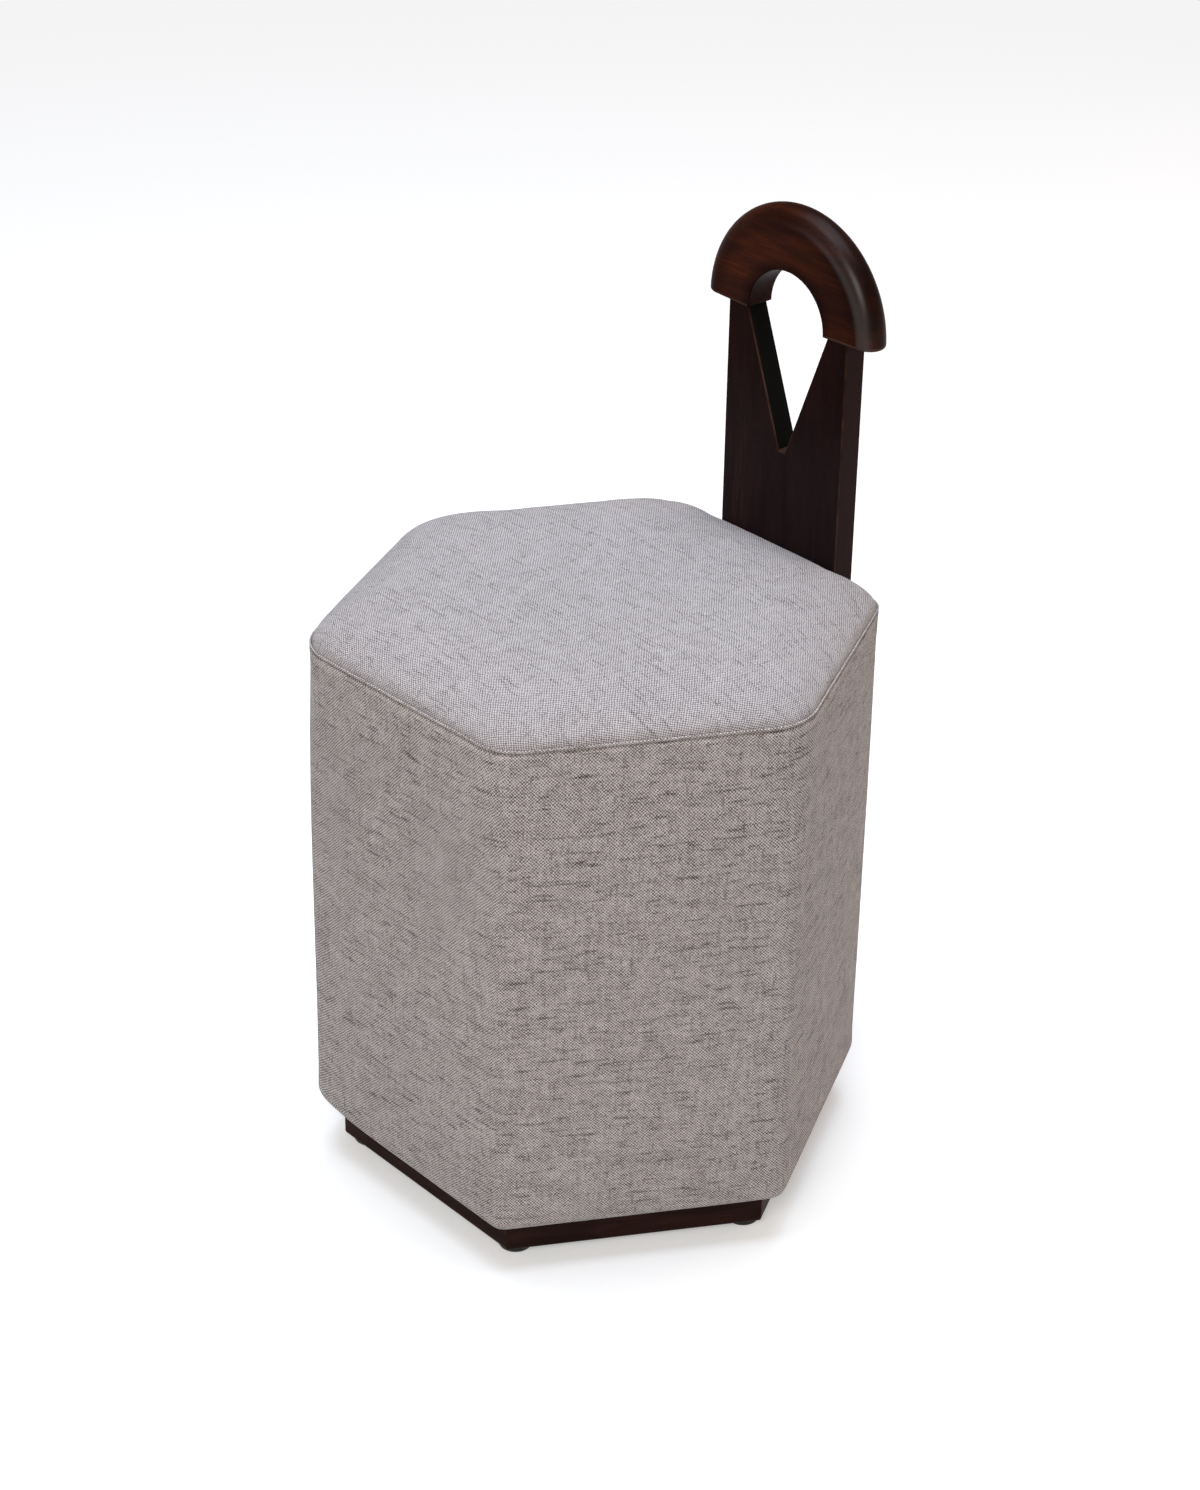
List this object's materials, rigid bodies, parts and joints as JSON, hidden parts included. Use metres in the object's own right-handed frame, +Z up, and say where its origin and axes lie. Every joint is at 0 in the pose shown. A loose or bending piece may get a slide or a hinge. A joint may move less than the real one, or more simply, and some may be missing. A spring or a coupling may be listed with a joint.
{
  "type": "vanity stool",
  "caption": "Hexagonal upholstered pouf seat on a low dark wood plinth with glides, and a plank back rest notched and crowned by a half-ring into a keyhole.",
  "frame": {"origin": "on the floor, under the middle of the whole stool's outline", "axes": "+Z up, +Y towards the back rest, +X to the right when facing the back rest; two seat corners lie along X"},
  "size_m": [0.4278, 0.3936, 0.7125],
  "materials": {
    "cover_cloth": "slubby plain-weave cloth, matt",
    "dark_wood": "dark walnut stain under satin lacquer",
    "plywood": "raw plywood",
    "softwood": "raw softwood",
    "foam": "open-cell foam",
    "cambric": "black non-woven dust cloth",
    "glide_plastic": "moulded black plastic",
    "zinc_steel": "zinc plated",
    "insert_brass": "turned brass"
  },
  "bodies": {
    "root": {"back_packing_board": "plywood", "back_splat": "dark_wood", "bottom_board": "plywood", "bottom_board_screws": "zinc_steel", "corner_post_front_left": "softwood", "corner_post_front_right": "softwood", "corner_post_left": "softwood", "corner_post_rear_left": "softwood", "corner_post_rear_right": "softwood", "corner_post_right": "softwood", "cover_band": "cover_cloth", "cover_top": "cover_cloth", "crest_arch": "dark_wood", "crest_dowels": "softwood", "dust_cover": "cambric", "glide_front_left": "glide_plastic", "glide_front_right": "glide_plastic", "glide_left": "glide_plastic", "glide_nails": "zinc_steel", "glide_rear_left": "glide_plastic", "glide_rear_right": "glide_plastic", "glide_right": "glide_plastic", "plinth_corner_block_front_left": "softwood", "plinth_corner_block_front_right": "softwood", "plinth_corner_block_left": "softwood", "plinth_corner_block_rear_left": "softwood", "plinth_corner_block_rear_right": "softwood", "plinth_corner_block_right": "softwood", "plinth_rail_back": "dark_wood", "plinth_rail_back_left": "dark_wood", "plinth_rail_back_right": "dark_wood", "plinth_rail_front": "dark_wood", "plinth_rail_front_left": "dark_wood", "plinth_rail_front_right": "dark_wood", "plinth_screws": "zinc_steel", "seat_board": "plywood", "seat_board_screws": "zinc_steel", "seat_foam": "foam", "side_padding_back": "foam", "side_padding_back_left": "foam", "side_padding_back_right": "foam", "side_padding_front": "foam", "side_padding_front_left": "foam", "side_padding_front_right": "foam", "side_panel_back": "plywood", "side_panel_back_left": "plywood", "side_panel_back_right": "plywood", "side_panel_front": "plywood", "side_panel_front_left": "plywood", "side_panel_front_right": "plywood", "splat_bolts": "zinc_steel", "splat_inserts": "insert_brass", "splat_washers": "zinc_steel"}
  },
  "joints": []
}
